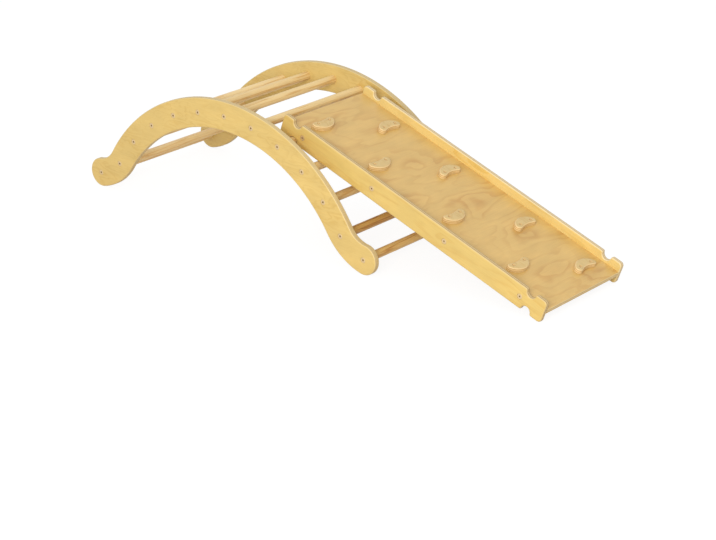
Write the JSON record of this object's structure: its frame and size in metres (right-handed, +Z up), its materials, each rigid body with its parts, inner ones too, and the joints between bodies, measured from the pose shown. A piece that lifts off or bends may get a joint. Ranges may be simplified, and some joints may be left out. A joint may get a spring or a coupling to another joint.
{
  "type": "children's climbing frame with ramp",
  "caption": "Low wooden climbing arch of round rungs between two curved side panels, with a ramp that has climbing holds on one face and hooks over a rung.",
  "frame": {"origin": "on the floor, in the middle of the frame's whole length and width", "axes": "+X along the length, towards the foot of the ramp; +Y across, towards the far side panel; +Z up"},
  "size_m": [1.618, 0.48, 0.3755],
  "materials": {
    "side_panel_plywood": "clear satin lacquer",
    "rail_plywood": "clear satin lacquer",
    "board_plywood": "clear satin lacquer",
    "hold_plywood": "clear satin lacquer",
    "rung_wood": "clear satin lacquer",
    "bolt_steel": "zinc plate"
  },
  "bodies": {
    "arch": {"side_panel_near": "side_panel_plywood", "side_panel_far": "side_panel_plywood", "rung_01": "rung_wood", "rung_02": "rung_wood", "rung_03": "rung_wood", "rung_04": "rung_wood", "rung_05": "rung_wood", "rung_06": "rung_wood", "rung_07": "rung_wood", "rung_08": "rung_wood", "rung_09": "rung_wood", "rung_10": "rung_wood", "rung_11": "rung_wood", "rung_12": "rung_wood", "rung_13": "rung_wood", "panel_bolt_near_01": "bolt_steel", "panel_bolt_near_02": "bolt_steel", "panel_bolt_near_03": "bolt_steel", "panel_bolt_near_04": "bolt_steel", "panel_bolt_near_05": "bolt_steel", "panel_bolt_near_06": "bolt_steel", "panel_bolt_near_07": "bolt_steel", "panel_bolt_near_08": "bolt_steel", "panel_bolt_near_09": "bolt_steel", "panel_bolt_near_10": "bolt_steel", "panel_bolt_near_11": "bolt_steel", "panel_bolt_near_12": "bolt_steel", "panel_bolt_near_13": "bolt_steel", "panel_bolt_far_01": "bolt_steel", "panel_bolt_far_02": "bolt_steel", "panel_bolt_far_03": "bolt_steel", "panel_bolt_far_04": "bolt_steel", "panel_bolt_far_05": "bolt_steel", "panel_bolt_far_06": "bolt_steel", "panel_bolt_far_07": "bolt_steel", "panel_bolt_far_08": "bolt_steel", "panel_bolt_far_09": "bolt_steel", "panel_bolt_far_10": "bolt_steel", "panel_bolt_far_11": "bolt_steel", "panel_bolt_far_12": "bolt_steel", "panel_bolt_far_13": "bolt_steel"},
    "ramp": {"ramp_board": "board_plywood", "ramp_rail_near": "rail_plywood", "ramp_rail_far": "rail_plywood", "rail_bolt_near_1": "bolt_steel", "rail_bolt_near_2": "bolt_steel", "rail_bolt_near_3": "bolt_steel", "rail_bolt_near_4": "bolt_steel", "rail_bolt_far_1": "bolt_steel", "rail_bolt_far_2": "bolt_steel", "rail_bolt_far_3": "bolt_steel", "rail_bolt_far_4": "bolt_steel", "hold_1": "hold_plywood", "hold_2": "hold_plywood", "hold_3": "hold_plywood", "hold_4": "hold_plywood", "hold_5": "hold_plywood", "hold_6": "hold_plywood", "hold_7": "hold_plywood", "hold_8": "hold_plywood"}
  },
  "joints": [
    {"name": "ramp_tilt", "type": "hinge", "parent": "arch", "child": "ramp", "pos_m": [-0.05583, 0, 0.29066], "axis": [0, -1, 0], "range_deg": [0, 60]}
  ]
}
